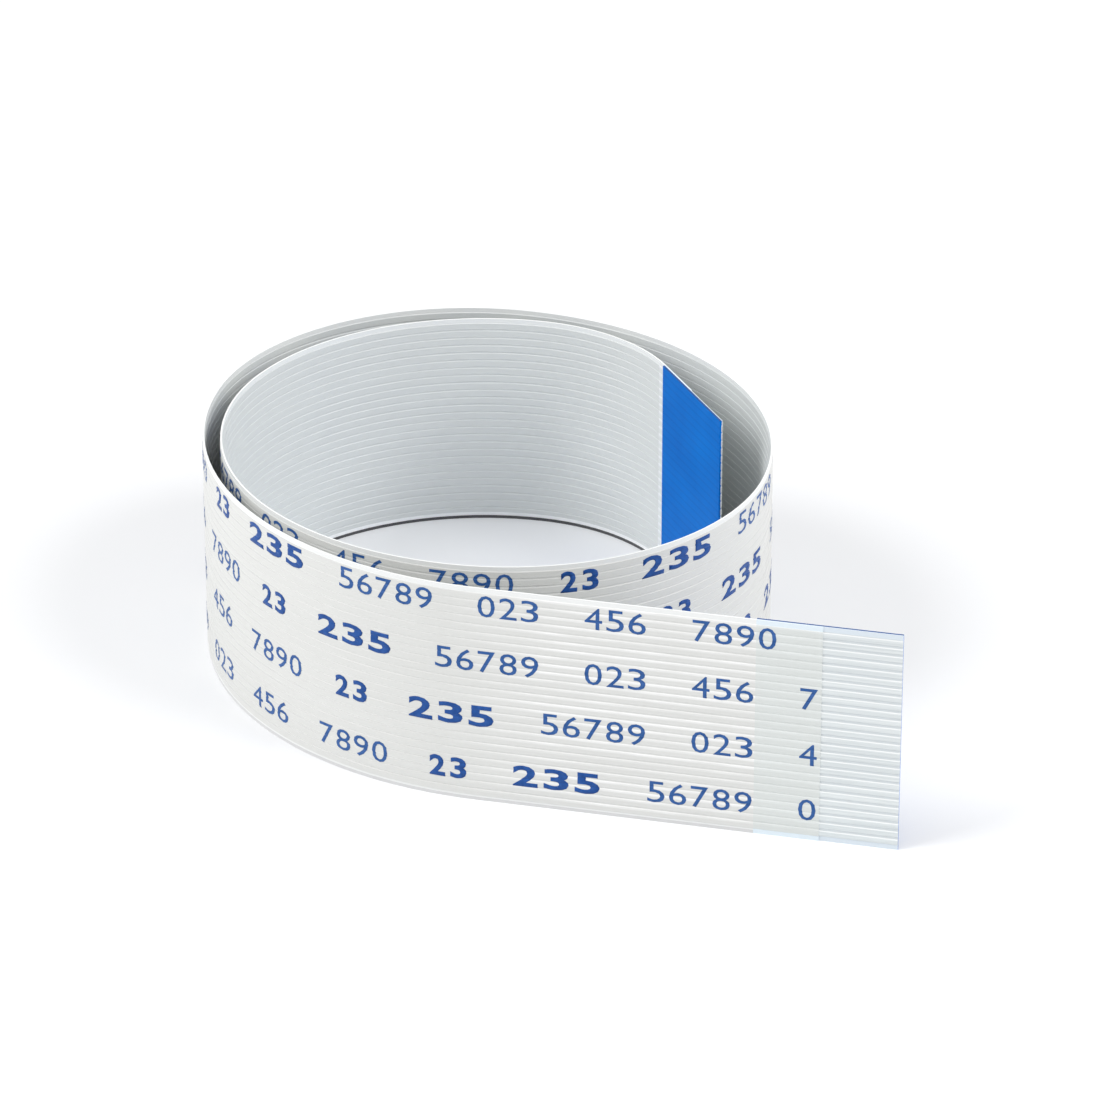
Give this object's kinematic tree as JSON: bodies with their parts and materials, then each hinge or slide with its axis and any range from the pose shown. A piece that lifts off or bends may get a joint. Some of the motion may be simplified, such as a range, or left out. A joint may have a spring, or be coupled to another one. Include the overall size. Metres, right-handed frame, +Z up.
{
  "type": "flat flex cable",
  "caption": "Flat flex cable in a loose coil on its edge: laminated white film over flat tinned conductors, bare contacts and a blue stiffener at each end.",
  "frame": {"origin": "middle of the cable's outline in plan, on the surface that its lower edge stands on", "axes": "+X along the straight tail towards its cut end, +Z up across the cable's width, -Y the way the tail's contacts face"},
  "size_m": [0.091, 0.073, 0.027],
  "materials": {
    "outer_film": "satin",
    "inner_film": "satin",
    "stiffener": "satin",
    "tinned_copper": "satin tin over copper"
  },
  "bodies": {
    "root": {"outer_film": "outer_film", "inner_film": "inner_film", "outer_stiffener": "stiffener", "inner_stiffener": "stiffener", "conductor_01": "tinned_copper", "conductor_02": "tinned_copper", "conductor_03": "tinned_copper", "conductor_04": "tinned_copper", "conductor_05": "tinned_copper", "conductor_06": "tinned_copper", "conductor_07": "tinned_copper", "conductor_08": "tinned_copper", "conductor_09": "tinned_copper", "conductor_10": "tinned_copper", "conductor_11": "tinned_copper", "conductor_12": "tinned_copper", "conductor_13": "tinned_copper", "conductor_14": "tinned_copper", "conductor_15": "tinned_copper", "conductor_16": "tinned_copper", "conductor_17": "tinned_copper", "conductor_18": "tinned_copper", "conductor_19": "tinned_copper", "conductor_20": "tinned_copper", "conductor_21": "tinned_copper", "conductor_22": "tinned_copper", "conductor_23": "tinned_copper", "conductor_24": "tinned_copper", "conductor_25": "tinned_copper", "conductor_26": "tinned_copper"}
  },
  "joints": []
}
